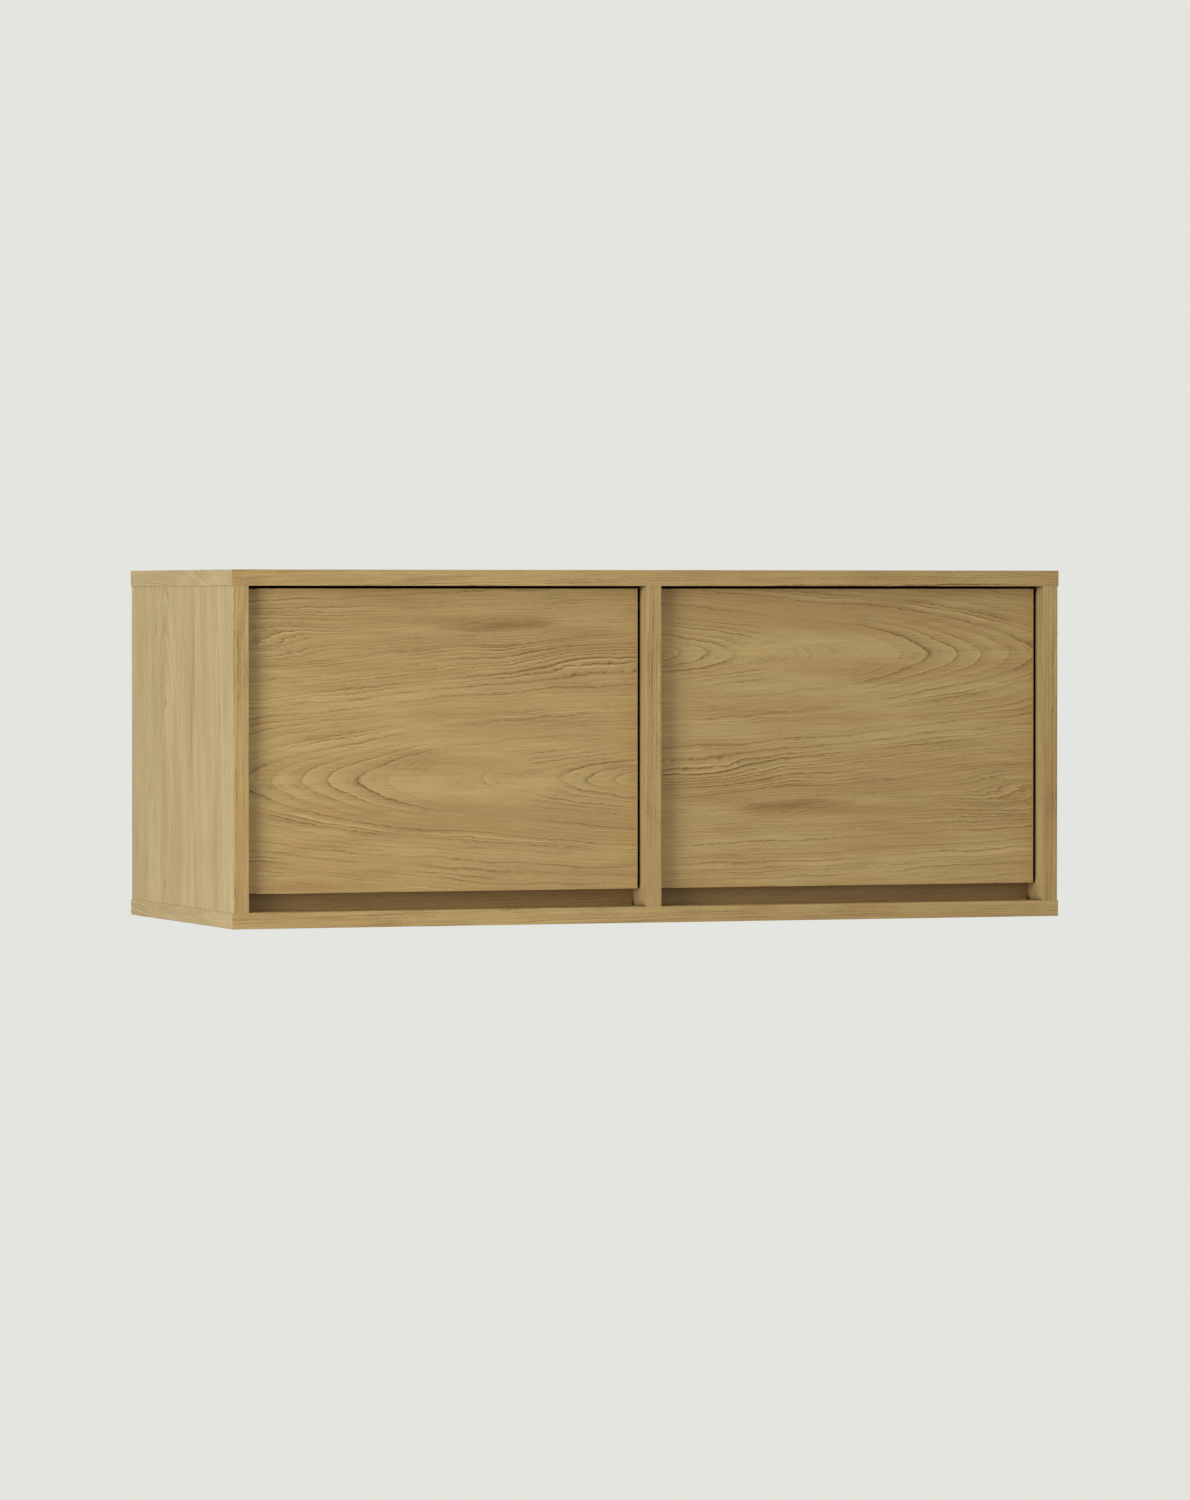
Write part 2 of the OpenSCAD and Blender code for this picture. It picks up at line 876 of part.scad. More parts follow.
module right_door_bracket() {
  mirror([1, 0, 0]) door_bracket();
}

module bracket_pin() {
  color(steel) translate([-side_in, 0, 0]) {
    rod_x(link_from - 0.3, ear_to, crank_y, crank_z, rivet_r);
    rod_x(link_from - 0.3 - retainer, link_from - 0.3, crank_y, crank_z, rivet_head_r);
    rod_x(ear_to, ear_to + retainer, crank_y, crank_z, rivet_head_r);
  }
}

module left_bracket_pin() {
  bracket_pin();
}

module right_bracket_pin() {
  mirror([1, 0, 0]) bracket_pin();
}

module bracket_screws() {
  color(steel) at_bracket_screws() {
    rod_y(1 - bracket_screw_length, bracket_thick - 0.1, 0, 0, bracket_screw_r);
    cone_y(bracket_thick - 1.9, bracket_thick - 0.1, 0, 0, bracket_screw_r, bracket_screw_head_r - 0.1);
  }
}

module left_bracket_screws() {
  bracket_screws();
}

module right_bracket_screws() {
  mirror([1, 0, 0]) bracket_screws();
}

top_panel();
bottom_panel();
left_side_panel();
right_side_panel();
divider_panel();
top_front_band();
bottom_front_band();
left_side_front_band();
right_side_front_band();
divider_front_band();
top_end_bands();
bottom_end_bands();
left_back_panel();
right_back_panel();
left_stop_rail();
right_stop_rail();
cam_locks();
cam_bolts();
cam_cover_caps();
panel_dowels();
rail_screws();
rail_screw_caps();
left_hanger_body();
right_hanger_body();
left_hanger_hook();
right_hanger_hook();
left_wall_plate();
right_wall_plate();
hanger_adjusting_screws();
hanger_fixing_screws();
access_hole_caps();
pivot_bushes();
door_buffers();
left_stay_plate();
right_stay_plate();
stay_plate_screws();
stay_axles();
friction_washers();
disc_springs();
clamp_nuts();
left_stay_lever();
right_stay_lever();
left_lever_rivet();
right_lever_rivet();
left_stay_link();
right_stay_link();
left_door_panel();
right_door_panel();
left_door_bands();
right_door_bands();
left_pivot_pins();
right_pivot_pins();
left_door_bracket();
right_door_bracket();
left_bracket_pin();
right_bracket_pin();
left_bracket_screws();
right_bracket_screws();
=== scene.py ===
"""Wall hung oak cabinet with two recessed lift-up flaps: its looks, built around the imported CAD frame.

Lengths are metres in the row frame: X along the wall, the front faces -Y, Z up, origin on the wall.
The wood patterns are worked out in millimetres, along and across the grain.
"""

import math

import bpy
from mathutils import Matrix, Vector


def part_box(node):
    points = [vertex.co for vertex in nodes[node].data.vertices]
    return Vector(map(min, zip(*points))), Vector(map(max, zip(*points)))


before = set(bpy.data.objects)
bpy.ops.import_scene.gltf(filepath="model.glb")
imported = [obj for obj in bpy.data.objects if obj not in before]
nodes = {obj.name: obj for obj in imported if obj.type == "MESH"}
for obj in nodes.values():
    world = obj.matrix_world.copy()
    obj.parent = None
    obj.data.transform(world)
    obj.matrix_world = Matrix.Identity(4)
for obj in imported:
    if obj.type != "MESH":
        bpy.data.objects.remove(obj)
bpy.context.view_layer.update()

X, Y, Z = 0, 1, 2
MILLIMETRES = 1000.0

# The view: from the left with a long lens, looking a little down
CAMERA_PLACE = Vector((-2.837, -7.980, 0.166))
CAMERA_YAW = math.radians(20.045)
CAMERA_PITCH = math.radians(1.204)
IMAGE_HEIGHT = 1500
FOCAL_PIXELS = 7135
SENSOR = 36.0
FARTHEST_SEEN = 100.0

# The camera sees the sky and the floor in this linear colour; they light the cabinet at these shares of it
BACKDROP = (0.775, 0.783, 0.745)
SKY_LEVEL = 0.87
FLOOR_LEVEL = 0.43
FLOOR_Z = -6.5
FLOOR_SIZE = 180.0

# Two tall soft lamps on the camera's side, both aimed at the front of the left half
LAMP_TARGET = (-0.2, -0.4, 0.0)
LAMP_HEIGHT = 2.6

# Oak colours, linear: light wood, dark wood, and the lines of the growth rings
OAK = ((0.540, 0.382, 0.151), (0.470, 0.301, 0.112), (0.235, 0.118, 0.030))
# A paler, less saturated copy with fainter ring lines: painted sheen on the uprights and board ends
OAK_PAINTED_SHEEN = ((0.540, 0.405, 0.190), (0.460, 0.328, 0.146), (0.280, 0.170, 0.062))
# A darker copy of the oak for the stop rails: painted shade of the recess behind the doors
OAK_PAINTED_SHADE = ((0.380, 0.250, 0.092), (0.330, 0.195, 0.068), (0.190, 0.090, 0.022))
OAK_BROWN = (0.345, 0.186, 0.058)
# Painted shade: a near black laid into the wood's colour in narrow gaps, out to this reach
PAINTED_GAP_SHADE = (0.010, 0.005, 0.002)
PAINTED_GAP_SHADE_REACH = 0.012

# How round the wood's flames are: 2 gives round tips, 1 gives straight arrowheads
POINT = 1.75

# Both doors are cut from one printed pattern: the right one is turned end for end and cut this far over
PRINT_STEP = 0.051
# The uprights' pattern starts this far above their top ends
UPRIGHT_START = 0.045


# ---- Node trees ----


class Graph:
    """One material's node tree, built by short calls that take numbers or sockets."""

    def __init__(self, name):
        self.material = bpy.data.materials.new(name)
        self.material.use_nodes = True
        self.tree = self.material.node_tree
        self.tree.nodes.clear()
        self.shader = self.add("ShaderNodeBsdfPrincipled")
        out = self.add("ShaderNodeOutputMaterial")
        self.tree.links.new(self.shader.outputs[0], out.inputs[0])

    def add(self, kind, **settings):
        node = self.tree.nodes.new(kind)
        for key, value in settings.items():
            setattr(node, key, value)
        return node

    def feed(self, socket, value):
        if isinstance(value, bpy.types.NodeSocket):
            self.tree.links.new(value, socket)
        else:
            socket.default_value = value

    def calc(self, operation, *values, clamp=False):
        node = self.add("ShaderNodeMath", operation=operation, use_clamp=clamp)
        for socket, value in zip(node.inputs, values):
            self.feed(socket, value)
        return node.outputs[0]

    def plus(self, a, b):
        return self.calc("ADD", a, b)

    def minus(self, a, b):
        return self.calc("SUBTRACT", a, b)

    def times(self, a, b):
        return self.calc("MULTIPLY", a, b)

    def power(self, a, b):
        return self.calc("POWER", a, b)

    def vector(self, x, y, z):
        node = self.add("ShaderNodeCombineXYZ")
        for socket, value in zip(node.inputs, (x, y, z)):
            self.feed(socket, value)
        return node.outputs[0]

    def noise(self, vector, detail=2.0, roughness=0.5, scale=1.0):
        node = self.add("ShaderNodeTexNoise")
        self.feed(node.inputs["Vector"], vector)
        node.inputs["Scale"].default_value = scale
        node.inputs["Detail"].default_value = detail
        node.inputs["Roughness"].default_value = roughness
        return node.outputs["Fac"]

    def streaks(self, place, sizes, detail=2.0, roughness=0.5):
        """Noise whose spots have these sizes along the three parts of place."""
        parts = [self.times(part, 1 / size) for part, size in zip(place, sizes)]
        return self.noise(self.vector(*parts), detail, roughness)

    def remap(self, value, low, high, to_low=0.0, to_high=1.0, smooth=False):
        node = self.add("ShaderNodeMapRange")
        node.interpolation_type = "SMOOTHSTEP" if smooth else "LINEAR"
        self.feed(node.inputs["Value"], value)
        limits = {"From Min": low, "From Max": high, "To Min": to_low, "To Max": to_high}
        for name, number in limits.items():
            self.feed(node.inputs[name], number)
        return node.outputs["Result"]

    def swing(self, value, amount):
        """A noise value turned into plus or minus amount."""
        return self.times(self.minus(value, 0.5), 2 * amount)

    def bell(self, *distances):
        """1 where all distances are 0, falling to 0 around it."""
        square = 0.0
        for distance in distances:
            square = self.plus(square, self.times(distance, distance))
        return self.power(math.e, self.times(square, -1.0))

    def blend(self, factor, a, b, mode="MIX"):
        node = self.add("ShaderNodeMix", data_type="RGBA", blend_type=mode)
        self.feed(node.inputs["Factor"], factor)
        ends = [socket for socket in node.inputs if socket.type == "RGBA"]
        for socket, value in zip(ends, (a, b)):
            colour = value if isinstance(value, bpy.types.NodeSocket) else (*value, 1.0)
            self.feed(socket, colour)
        return next(socket for socket in node.outputs if socket.type == "RGBA")

    def split(self, vector):
        node = self.add("ShaderNodeSeparateXYZ")
        self.feed(node.inputs[0], vector)
        return node.outputs

    def object_xyz(self):
        return self.split(self.add("ShaderNodeTexCoord").outputs["Object"])

    def object_normal(self):
        return self.split(self.add("ShaderNodeTexCoord").outputs["Normal"])

    def grey(self, level, tint=(1.0, 1.0, 1.0)):
        """A colour from one level, with a share of it for each channel."""
        node = self.add("ShaderNodeCombineColor")
        for socket, channel in zip(node.inputs, tint):
            self.feed(socket, self.times(level, channel))
        return node.outputs[0]

    def bump(self, height, distance, strength):
        node = self.add("ShaderNodeBump")
        node.inputs["Strength"].default_value = strength
        node.inputs["Distance"].default_value = distance
        self.feed(node.inputs["Height"], height)
        self.feed(self.shader.inputs["Normal"], node.outputs[0])

    def finish(self, colour, roughness, metallic=0.0):
        self.feed(self.shader.inputs["Base Color"], colour)
        self.feed(self.shader.inputs["Roughness"], roughness)
        self.shader.inputs["Metallic"].default_value = metallic
        return self.material


def scaled(colour, share):
    """A colour with each channel times share, at most 1."""
    return tuple(min(1.0, share * channel) for channel in colour)


# ---- Oak ----


class Board:
    """Places on one piece of wood: u runs along the grain and v across it, in millimetres.

    along, across, wrap and ends are (axis, start in metres, sign). wrap carries v on over the edge
    into a third axis, and ends stands in for along on the faces that look sideways.
    """

    def __init__(self, g, along, across, seed, wrap, ends):
        self.g = g
        self.seed = seed
        self.place = g.object_xyz()
        self.u = self.measure(*along)
        self.v = self.measure(*across)
        if wrap:
            self.v = g.plus(self.v, self.measure(*wrap))
        if ends:
            sideways = g.calc("GREATER_THAN", g.calc("ABSOLUTE", g.object_normal()[X]), 0.5)
            flat = g.times(self.u, g.minus(1.0, sideways))
            self.u = g.plus(flat, g.times(self.measure(*ends), sideways))

    def measure(self, axis, start, sign):
        return self.g.times(self.g.minus(self.place[axis], start), sign * MILLIMETRES)

    def streaks(self, length, width, detail=2.0, roughness=0.5, shift=0.0):
        """Noise drawn out along the grain; shift picks another part of it."""
        place = (self.u, self.v, self.seed + shift)
        return self.g.streaks(place, (length, width, 1.0), detail, roughness)

    def beside(self, across, width, bend=0.0):
        """How far a place lies from a line along the board, in widths."""
        return self.g.times(self.g.minus(self.g.plus(self.v, bend), across), 1 / width)

    def spot(self, along, across, length, width, bend=0.0):
        """1 at a place on the board, falling to 0 around it."""
        past = self.g.times(self.g.minus(self.u, along), 1 / length)
        return self.g.bell(past, self.beside(across, width, bend))


def ring_radius(board, flame, warp, eyes, kinks):
    """How far each place is from the pith line, in millimetres, with its waves."""
    g = board.g
    flame_at, flame_depth, flame_long = flame
    waves = (
        # length, width, detail and size, from long bends down to the wobble of single fibres
        (190.0, 60.0, 1.0, warp),
        (46.0, 18.0, 2.0, 0.45 * warp),
        (11.0, 6.0, 2.0, 1.3),
        (2.8, 2.2, 1.0, 0.5),
    )
    off = g.minus(board.v, flame_at)
    for length, width, detail, size in waves:
        off = g.plus(off, g.swing(board.streaks(length, width, detail, shift=size), size))
    for along, across, length, width, amount in eyes:
        pushed = g.times(g.minus(board.v, across), board.spot(along, across, length, width))
        off = g.minus(off, g.times(pushed, amount))
    for along, across, length, width, amount in kinks:
        lift = g.remap(board.u, along - length, along + length, 0.0, amount, smooth=True)
        off = g.minus(off, g.times(lift, g.bell(board.beside(across, width))))
    depth = g.calc("MAXIMUM", g.minus(flame_depth, g.times(board.u, flame_depth / flame_long)), 0.0)
    pointed = g.plus(g.power(g.calc("ABSOLUTE", off), POINT), g.power(depth, POINT))
    return g.power(pointed, 1 / POINT)


def ring_lines(board, radius, ring, line, accents):
    """The growth rings' lines, the pale wood beside them, and each ring's own chance and early wood."""
    g = board.g
    rings = g.times(radius, 1 / ring)
    uneven = g.noise(g.vector(g.times(rings, 0.37), board.seed, 0.0), 2.0, 0.6)
    rings = g.plus(rings, g.swing(uneven, 1.9))
    part = g.calc("FRACT", rings)
    dice = g.add("ShaderNodeTexWhiteNoise", noise_dimensions="2D")
    g.feed(dice.inputs["Vector"], g.vector(g.calc("FLOOR", rings), board.seed, 0.0))
    chance = dice.outputs["Value"]

    # Early wood starts at a sharp edge and fades away through the ring
    fading = g.minus(1.0, part)
    early = g.plus(g.times(g.power(fading, 7.0), 0.62), g.times(g.power(fading, 1.8), 0.38))
    early = g.plus(early, g.remap(part, 0.94, 1.0, 0.0, 0.9, smooth=True))

    bold = g.power(chance, 2.2)
    patchy = g.remap(board.streaks(95, 22, shift=9.4), 0.36, 0.62, 0.2, 1.1)
    strength = g.times(patchy, g.plus(g.times(bold, line), 0.22))
    deeper = g.plus(g.times(bold, 0.5), 0.5)
    for *spot, amount in accents:
        strength = g.plus(strength, g.times(g.times(board.spot(*spot), amount), deeper))
    ragged = g.remap(board.streaks(9, 1.5, 3.0, 0.6, shift=12.0), 0.30, 0.62, 0.25, 1.25)
    lines = g.times(g.times(early, strength), ragged)

    # In patches, a second and closer set of faint lines
    close = g.power(g.minus(1.0, g.calc("FRACT", g.times(radius, 2.1 / ring))), 1.6)
    patches = g.remap(board.streaks(80, 14, shift=52.0), 0.47, 0.66, 0.0, 0.45 * line)
    lines = g.calc("ADD", lines, g.times(g.times(close, patches), ragged), clamp=True)

    before = g.minus(g.remap(part, 0.66, 0.86, smooth=True), g.remap(part, 0.88, 0.97, smooth=True))
    pale = g.calc("MULTIPLY", g.times(before, ragged), g.times(strength, 0.7), clamp=True)
    return lines, pale, chance, early


def smeared(board, colour, fibres, smears):
    """The colour with brown smears that wander a little and fray along the fibres."""
    g = board.g
    bend = g.swing(board.streaks(60, 14, shift=3.0), 6.0)
    frayed = g.remap(fibres, 0.40, 0.60, 0.35, 1.35)
    for *spot, amount in smears:
        mask = g.times(board.spot(*spot, bend), amount)
        colour = g.blend(g.calc("MULTIPLY", mask, frayed, clamp=True), colour, OAK_BROWN)
    return colour


def rear_mask(g):
    """1 on faces that look towards the wall, where the boards have no band."""
    return g.remap(g.object_normal()[Y], 0.55, 0.65)


def chipboard_colour(g):
    """Bare particle board: pale and dark chips of a few millimetres."""
    cells = g.add("ShaderNodeTexVoronoi", feature="F1")
    cells.inputs["Scale"].default_value = 420.0
    cells.inputs["Randomness"].default_value = 1.0
    place = g.add("ShaderNodeTexCoord").outputs["Object"]
    flattened = g.add("ShaderNodeMapping")
    flattened.inputs["Scale"].default_value = (0.55, 1.0, 1.3)
    g.feed(flattened.inputs["Vector"], place)
    g.feed(cells.inputs["Vector"], flattened.outputs[0])
    channels = g.add("ShaderNodeSeparateColor")
    g.feed(channels.inputs[0], cells.outputs["Color"])
    return g.blend(channels.outputs[0], (0.30, 0.19, 0.09), (0.58, 0.42, 0.24))


def painted_gap_shade_mask(g):
    """Painted shade: 0 in narrow gaps beside other parts, as ambient occlusion finds them, 1 in the open.
    """
    sky = g.add("ShaderNodeAmbientOcclusion", samples=8)
    sky.inputs["Distance"].default_value = PAINTED_GAP_SHADE_REACH
    return g.remap(sky.outputs["AO"], 0.46, 0.58)


def oak(
    name,
    along,
    across,
    flame,
    ring,
    seed,
    colours=OAK,
    line=0.75,
    warp=7.0,
    accents=(),
    eyes=(),
    kinks=(),
    smears=(),
    wrap=None,
    ends=None,
    raw_rear=False,
    paints_gap_shade=False,
):
    """A plain-sawn oak laminate. Board tells what along, across, wrap and ends are.

    The growth rings are circles around a pith line under the surface. flame is where that line runs across
    the board, how deep it lies at the start, and where along the board it would surface: the rings then cut
    the face in flames that open along the board. ring is the rings' spacing, line is how dark their lines
    are, and warp is how far they wave.

    accents deepen the ring lines, eyes push them apart, kinks lift them from there on, and smears darken
    the wood. Each of these is a row of (along, across, size along, size across, amount).
    """
    g = Graph(name)
    light, dark, line_colour = colours
    board = Board(g, along, across, seed, wrap, ends)
    radius = ring_radius(board, flame, warp, eyes, kinks)
    lines, pale, chance, early = ring_lines(board, radius, ring, line, accents)

    # Light and dark wood, in broad streaks and from ring to ring
    broad = g.remap(board.streaks(240, 26, 3.0, shift=20.0), 0.34, 0.66)
    tone = g.plus(broad, g.swing(chance, 0.16))
    colour = g.blend(g.remap(tone, 0.0, 1.0), dark, light)
    colour = g.blend(pale, colour, scaled(light, 1.12))

    fibres = board.streaks(75, 1.5, 3.0, 0.6, shift=31.0)
    if smears:
        colour = smeared(board, colour, fibres, smears)
    colour = g.blend(lines, colour, line_colour)

    # Fibres shade the wood, and dark pores lie mostly in the early wood
    fine = board.streaks(16, 0.5, 2.0, 0.6, shift=37.0)
    shade = g.plus(g.remap(fibres, 0.25, 0.75, 0.84, 1.15), g.remap(fine, 0.25, 0.75, -0.06, 0.06))
    colour = g.blend(1.0, colour, g.grey(shade), mode="MULTIPLY")
    pores = g.remap(board.streaks(6.5, 0.34, 1.0, shift=44.0), 0.63, 0.72)
    pores = g.calc("MULTIPLY", pores, g.plus(g.times(early, 0.5), 0.16), clamp=True)
    colour = g.blend(pores, colour, scaled(line_colour, 0.6))
    roughness = g.plus(g.remap(fibres, 0.3, 0.7, 0.46, 0.56), g.times(pores, 0.2))

    if raw_rear:
        colour = g.blend(rear_mask(g), colour, chipboard_colour(g))
    # Painted shade: the wood turns near black in narrow gaps beside other parts
    if paints_gap_shade:
        colour = g.blend(painted_gap_shade_mask(g), PAINTED_GAP_SHADE, colour)
    height = g.minus(g.times(fibres, 0.35), g.plus(g.times(pores, 0.9), g.times(lines, 0.5)))
    g.bump(height, 0.00012, 0.5)
    return g.finish(colour, roughness)


# ---- Other materials ----


def fibreboard(name):
    """Thin back board: oak print in front, bare brown fibreboard behind."""
    g = Graph(name)
    light, dark, line_colour = OAK
    place = g.object_xyz()
    u = g.times(place[X], MILLIMETRES)
    v = g.times(place[Z], MILLIMETRES)
    streak = g.streaks((u, v, 7.0), (90, 2.2, 1.0), 4.0, 0.6)
    tone = g.streaks((u, v, 9.0), (200, 30, 1.0))
    print_colour = g.blend(g.remap(tone, 0.3, 0.7), dark, light)
    print_colour = g.blend(g.remap(streak, 0.5, 0.75, 0.0, 0.35), print_colour, line_colour)
    fluff = g.noise(g.vector(u, v, 0.0), 5.0, 0.7, 0.55)
    raw = g.blend(g.remap(fluff, 0.3, 0.7), (0.205, 0.115, 0.050), (0.330, 0.205, 0.100))
    colour = g.blend(rear_mask(g), print_colour, raw)
    g.bump(fluff, 0.0001, 0.4)
    return g.finish(colour, g.remap(streak, 0.3, 0.7, 0.5, 0.62))


def metal(name, colour, roughness, brushed):
    """Plated steel or zinc, with fine marks along the brushed axis and a little mottling."""
    g = Graph(name)
    place = g.object_xyz()
    mark_length = 0.012
    mark_width = 0.00025
    sizes = [mark_length if axis == brushed else mark_width for axis in (X, Y, Z)]
    marks = g.streaks(place, sizes, 2.0, 0.6)
    mottle = g.noise(g.vector(*place), 3.0, 0.6, 160.0)
    tint = g.remap(mottle, 0.3, 0.7, 0.88, 1.06)
    worn = g.remap(marks, 0.3, 0.7, roughness - 0.06, roughness + 0.08)
    g.bump(marks, 0.00002, 0.5)
    return g.finish(g.grey(tint, colour), g.plus(worn, g.remap(mottle, 0.3, 0.7, 0.0, 0.05)), 1.0)


def plastic(name, colour, roughness):
    """Moulded plastic with a fine spark-eroded texture."""
    g = Graph(name)
    place = g.object_xyz()
    grain = g.noise(g.vector(*place), 3.0, 0.6, 2600.0)
    cloud = g.noise(g.vector(*place), 2.0, 0.5, 60.0)
    tint = g.blend(g.remap(cloud, 0.3, 0.7), scaled(colour, 0.93), scaled(colour, 1.04))
    g.bump(grain, 0.00003, 0.35)
    return g.finish(tint, g.remap(grain, 0.3, 0.7, roughness - 0.04, roughness + 0.06))


def dowel_wood(name):
    """Turned beech, with short streaks along the dowels, which stand upright."""
    g = Graph(name)
    streak = g.streaks(g.object_xyz(), (0.0009, 0.0009, 0.012), 3.0, 0.6)
    colour = g.blend(g.remap(streak, 0.3, 0.7), (0.52, 0.36, 0.18), (0.70, 0.53, 0.30))
    g.bump(streak, 0.0001, 0.5)
    return g.finish(colour, 0.62)


def paint(material, *names):
    """Gives CAD nodes a material, on the object's own slots, so that their meshes stay as they are."""
    for name in names:
        piece = nodes[name]
        if not piece.material_slots:
            piece.data.materials.append(None)
        for slot in piece.material_slots:
            slot.link = "OBJECT"
            slot.material = material


# ---- Looks of the wood ----

DOOR_LOOK = dict(
    flame=(126, 75, 536),
    ring=4.7,
    line=0.85,
    warp=7.0,
    seed=9.0,
    accents=(
        (350, 266, 120, 22, 2.30),
        (110, 122, 90, 45, 0.75),
        (265, 126, 75, 30, -1.20),
        (30, 185, 80, 15, 0.90),
        (45, 306, 85, 17, 2.00),
        (40, 266, 75, 14, 1.20),
        (400, 318, 110, 13, 0.90),
        (400, 190, 100, 9, 0.45),
        (410, 112, 75, 9, 0.50),
        (425, 130, 35, 12, 0.40),
        (260, 22, 70, 10, 0.30),
        (110, 242, 110, 6, 0.55),
    ),
    eyes=(
        (305, 300, 75, 13, 0.75),
        (-8, 286, 75, 24, 0.75),
    ),
    kinks=((350, 264, 55, 28, 13.0),),
    smears=(
        (295, 300, 60, 8.0, 1.00),
        (345, 301, 16, 6.0, 1.00),
        (300, 299, 42, 3.5, 0.80),
        (200, 305, 110, 8, 0.50),
        (75, 309, 45, 4, 0.35),
        (330, 84, 160, 12, 0.45),
        (180, 70, 60, 8, 0.25),
        (50, 6, 80, 8, 0.50),
        (330, 30, 90, 9, 0.20),
    ),
)
UPRIGHT_LOOK = dict(
    # the paler copy of the oak: painted sheen
    colours=OAK_PAINTED_SHEEN,
    flame=(262, 75, 430),
    ring=6.0,
    line=0.80,
    warp=12.0,
    accents=(
        (110, 345, 90, 25, 0.45),
        (140, 145, 70, 12, 0.40),
        (120, 20, 120, 14, 0.35),
    ),
    smears=(
        (125, 151, 58, 5, 0.85),
        (200, 162, 45, 5, 0.70),
        (170, 275, 60, 15, 0.25),
        (345, 146, 35, 4, 0.60),
    ),
    raw_rear=True,
    # painted shade in the narrow gaps beside other parts
    paints_gap_shade=True,
)
BOARD_LOOK = dict(flame=(180, 70, 520), ring=6.0, raw_rear=True)
# The rails take the darker copy of the oak, painted shade of the recess under the doors
RAIL_LOOK = dict(colours=OAK_PAINTED_SHADE, flame=(-40, 30, 900), ring=4.0)

# The edge bands are cut from straight grain; those on the board ends show it slanting
BAND_LOOK = dict(flame=(-14, 24, 900), ring=2.5, line=1.5, warp=3.0)
UPRIGHT_BAND_LOOK = dict(
    flame=(-14, 24, 2500),
    ring=4.4,
    line=1.6,
    warp=2.0,
    accents=((270, 9, 110, 14, 0.8),),
)
# The board ends take the paler copy of the oak, painted sheen
END_BAND_LOOK = dict(colours=OAK_PAINTED_SHEEN, flame=(-12, 60, 300), ring=3.0, line=1.5, warp=9.0)


# ---- Painting the frame ----


def paint_oak(name, along, across, seed, look, wrap=None, ends=None):
    """Paints one piece with its own oak. The four directions are axes, counted from its low corner."""
    low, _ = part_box(name)

    def from_low(axis):
        return None if axis is None else (axis, low[axis], 1)

    material = oak(
        "oak_" + name,
        from_low(along),
        from_low(across),
        seed=seed,
        wrap=from_low(wrap),
        ends=from_low(ends),
        **look,
    )
    paint(material, name)


def paint_doors():
    """Paints both panels with the one print; it starts at the outer edges of the doors' bands."""
    left_low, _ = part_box("left_door_bands")
    _, right_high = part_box("right_door_bands")
    left = oak("oak_left_door", (X, left_low.x, 1), (Z, left_low.z, 1), **DOOR_LOOK)
    right_top = right_high.z + PRINT_STEP
    right = oak("oak_right_door", (X, right_high.x, -1), (Z, right_top, -1), **DOOR_LOOK)
    paint(left, "left_door_panel")
    paint(right, "right_door_panel")


def paint_upright(name, seed):
    """Paints a side or the divider, whose pattern hangs down from above its top end."""
    low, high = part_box(name)
    start = high.z + UPRIGHT_START
    paint(oak("oak_" + name, (Z, start, -1), (Y, low.y, 1), seed=seed, **UPRIGHT_LOOK), name)


paint_doors()
paint_upright("left_side_panel", 11.0)
paint_upright("divider_panel", 14.0)
paint_upright("right_side_panel", 17.0)
paint_oak("top_panel", X, Y, 23.0, BOARD_LOOK)
paint_oak("bottom_panel", X, Y, 27.0, BOARD_LOOK)
paint_oak("left_stop_rail", X, Z, 31.0, RAIL_LOOK, wrap=Y)
paint_oak("right_stop_rail", X, Z, 35.0, RAIL_LOOK, wrap=Y)
paint_oak("top_front_band", X, Z, 41.0, BAND_LOOK)
paint_oak("bottom_front_band", X, Z, 43.0, BAND_LOOK)
paint_oak("left_side_front_band", Z, X, 47.0, UPRIGHT_BAND_LOOK)
paint_oak("divider_front_band", Z, X, 51.0, UPRIGHT_BAND_LOOK)
paint_oak("right_side_front_band", Z, X, 55.0, UPRIGHT_BAND_LOOK)
paint_oak("top_end_bands", Y, Z, 61.0, END_BAND_LOOK)
paint_oak("bottom_end_bands", Y, Z, 64.0, END_BAND_LOOK)
paint_oak("left_door_bands", X, Y, 71.0, BAND_LOOK, ends=Z)
paint_oak("right_door_bands", X, Y, 75.0, BAND_LOOK, ends=Z)

paint(fibreboard("back_board"), "left_back_panel", "right_back_panel")
paint(
    metal("bright_steel", (0.62, 0.63, 0.65), 0.30, Z),
    "cam_bolts", "rail_screws", "left_hanger_hook", "right_hanger_hook",
    "left_wall_plate", "right_wall_plate", "hanger_adjusting_screws", "hanger_fixing_screws",
    "stay_plate_screws", "stay_axles", "disc_springs", "clamp_nuts",
    "left_pivot_pins", "right_pivot_pins", "left_bracket_pin", "right_bracket_pin",
    "left_bracket_screws", "right_bracket_screws",
)
paint(
    metal("lever_steel", (0.58, 0.59, 0.61), 0.33, Z),
    "left_stay_lever", "right_stay_lever", "left_stay_link", "right_stay_link",
)
paint(
    metal("zinc", (0.50, 0.51, 0.53), 0.42, Y),
    "cam_locks", "left_stay_plate", "right_stay_plate",
    "left_door_bracket", "right_door_bracket", "left_lever_rivet", "right_lever_rivet",
)
paint(plastic("cap_oak_plastic", (0.45, 0.31, 0.13), 0.5), "cam_cover_caps", "rail_screw_caps")
paint(plastic("white_plastic", (0.72, 0.71, 0.67), 0.45), "access_hole_caps", "friction_washers")
paint(plastic("black_plastic", (0.020, 0.020, 0.018), 0.5), "pivot_bushes")
paint(plastic("grey_plastic", (0.10, 0.10, 0.11), 0.5), "left_hanger_body", "right_hanger_body")
paint(plastic("buffer_rubber", (0.55, 0.54, 0.50), 0.6), "door_buffers")
paint(dowel_wood("beech"), "panel_dowels")


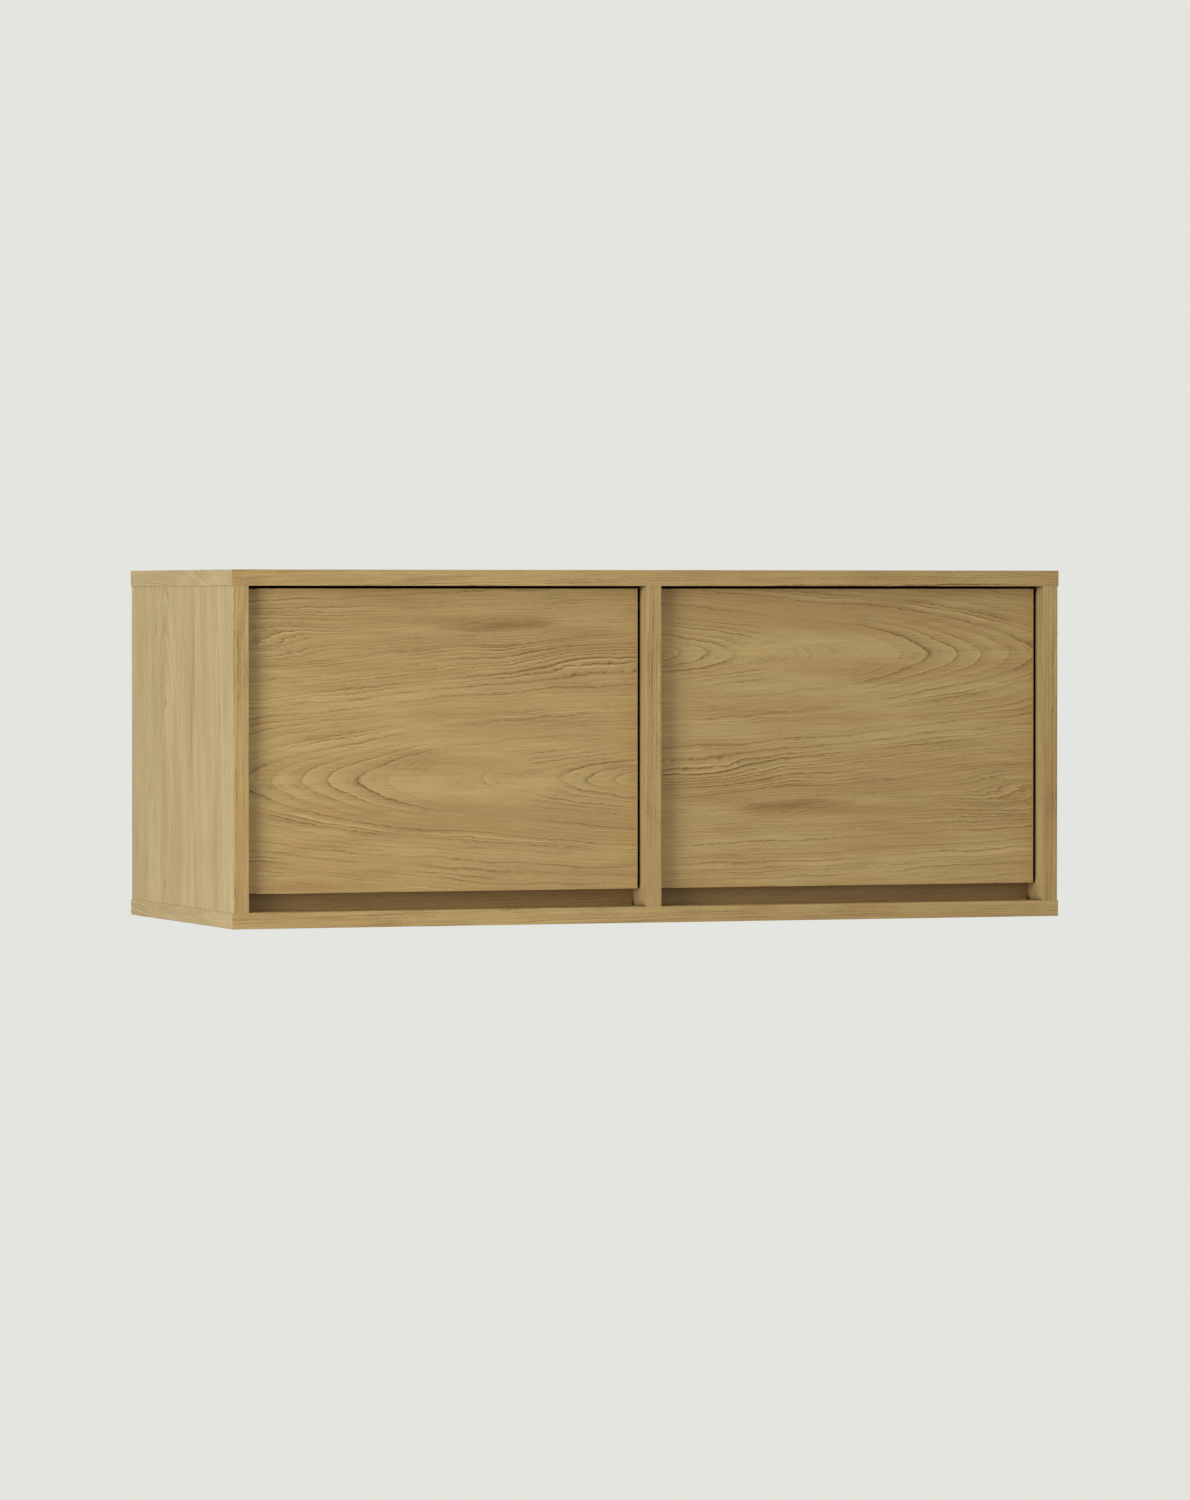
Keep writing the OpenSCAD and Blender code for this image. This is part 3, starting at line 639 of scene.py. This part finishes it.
# ---- Stage, lights and camera ----


def flat_light(name, colour, level):
    """A floor material that the camera sees in one flat colour, and that lights the rest at a share."""
    g = Graph(name)
    g.tree.nodes.clear()
    glow = g.add("ShaderNodeEmission")
    glow.inputs["Color"].default_value = (*colour, 1.0)
    path = g.add("ShaderNodeLightPath")
    g.feed(glow.inputs["Strength"], g.remap(path.outputs["Is Camera Ray"], 0.0, 1.0, level, 1.0))
    out = g.add("ShaderNodeOutputMaterial")
    g.tree.links.new(glow.outputs[0], out.inputs[0])
    return g.material


def add_floor():
    """A wide pale floor far below, so that the cabinet can be looked at from underneath."""
    bpy.ops.mesh.primitive_plane_add(size=FLOOR_SIZE, location=(0, 0, FLOOR_Z))
    floor = bpy.context.object
    floor.name = "floor"
    floor.data.materials.append(flat_light("pale_floor", BACKDROP, FLOOR_LEVEL))


def add_sky():
    """The same flat colour all round, with the same difference between what is seen and what it lights."""
    world = bpy.data.worlds.new("studio")
    world.use_nodes = True
    tree = world.node_tree
    sky = tree.nodes["Background"]
    sky.inputs["Color"].default_value = (*BACKDROP, 1.0)
    path = tree.nodes.new("ShaderNodeLightPath")
    level = tree.nodes.new("ShaderNodeMapRange")
    level.inputs["To Min"].default_value = SKY_LEVEL
    tree.links.new(path.outputs["Is Camera Ray"], level.inputs["Value"])
    tree.links.new(level.outputs["Result"], sky.inputs["Strength"])
    bpy.context.scene.world = world


def soft_light(name, place, width, power):
    """A tall soft box that lights the object but is never seen itself."""
    data = bpy.data.lights.new(name, "AREA")
    data.shape = "RECTANGLE"
    data.size = width
    data.size_y = LAMP_HEIGHT
    data.energy = power
    lamp = bpy.data.objects.new(name, data)
    lamp.location = place
    lamp.rotation_euler = (Vector(LAMP_TARGET) - Vector(place)).to_track_quat("-Z", "Y").to_euler()
    lamp.visible_camera = False
    bpy.context.scene.collection.objects.link(lamp)


def add_camera():
    """The camera that took the photo, as far as its straight edges tell."""
    data = bpy.data.cameras.new("camera")
    data.sensor_fit = "AUTO"
    data.sensor_width = SENSOR
    data.lens = FOCAL_PIXELS * SENSOR / IMAGE_HEIGHT
    data.clip_end = FARTHEST_SEEN
    camera = bpy.data.objects.new("camera", data)
    camera.location = CAMERA_PLACE
    camera.rotation_euler = (math.radians(90) - CAMERA_PITCH, 0.0, -CAMERA_YAW)
    bpy.context.scene.collection.objects.link(camera)
    bpy.context.scene.camera = camera


add_floor()
add_sky()
bpy.context.scene.view_settings.view_transform = "Standard"
soft_light("key", (-2.28, -1.97, 0.0), width=1.1, power=45.0)
soft_light("side_fill", (-2.76, 0.05, 0.0), width=0.8, power=7.0)
add_camera()
